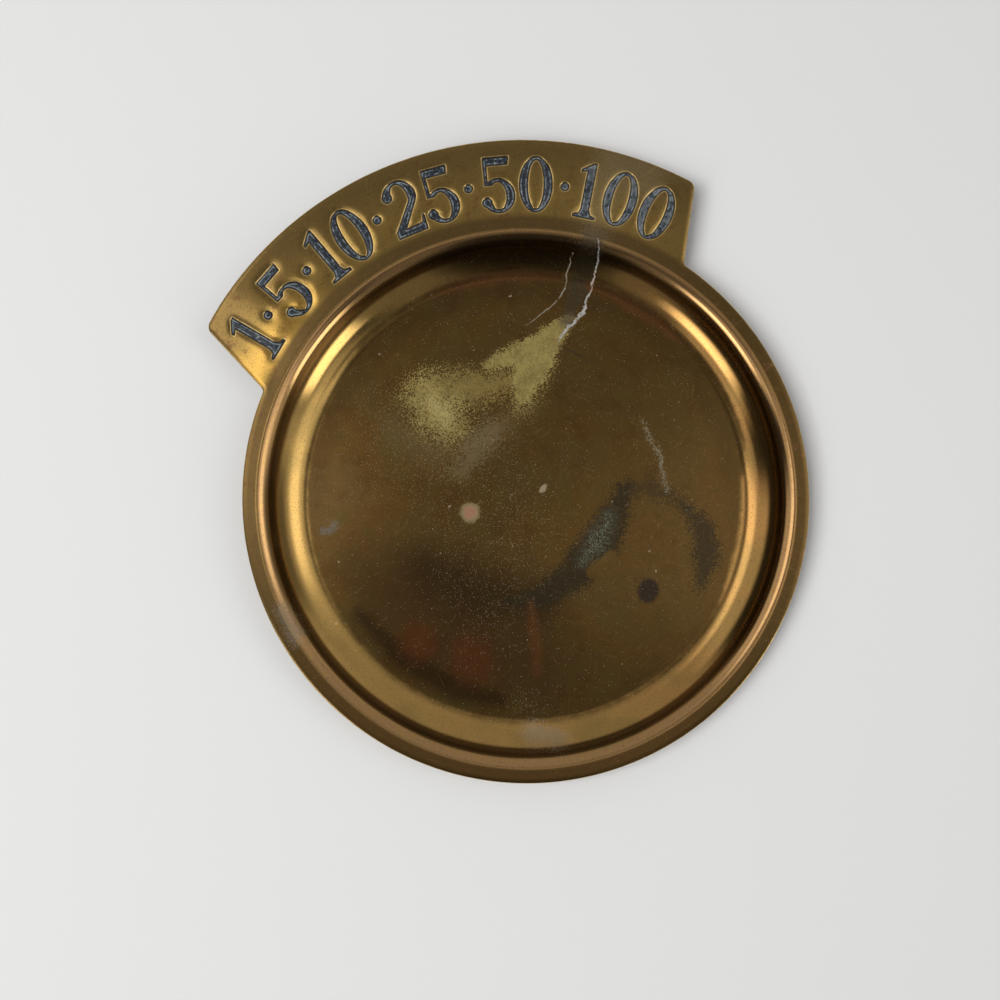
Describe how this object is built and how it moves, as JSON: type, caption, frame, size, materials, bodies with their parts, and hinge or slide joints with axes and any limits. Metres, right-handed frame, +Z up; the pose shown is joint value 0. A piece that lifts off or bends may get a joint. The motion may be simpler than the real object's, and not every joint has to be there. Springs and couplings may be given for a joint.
{
  "type": "coin tray",
  "caption": "Shallow round brass dish for loose coins, with a banner-shaped tab stamped with enamel-filled coin values.",
  "frame": {"origin": "middle of the flat base under the dish's axis", "axes": "+Z up out of the dish, +Y from the dish's middle towards the middle of the tab"},
  "size_m": [0.127, 0.1444, 0.0075],
  "materials": {
    "aged_brass": "polished, with brown age toning and stains",
    "dark_enamel": "worn blue-black gloss enamel"
  },
  "bodies": {
    "root": {"tray_shell": "aged_brass", "figure_fill_01": "dark_enamel", "figure_fill_02": "dark_enamel", "figure_fill_03": "dark_enamel", "figure_fill_04": "dark_enamel", "figure_fill_05": "dark_enamel", "figure_fill_06": "dark_enamel", "figure_fill_07": "dark_enamel", "figure_fill_08": "dark_enamel", "figure_fill_09": "dark_enamel", "figure_fill_10": "dark_enamel", "figure_fill_11": "dark_enamel", "dot_fill_1": "dark_enamel", "dot_fill_2": "dark_enamel", "dot_fill_3": "dark_enamel", "dot_fill_4": "dark_enamel", "dot_fill_5": "dark_enamel"}
  },
  "joints": []
}
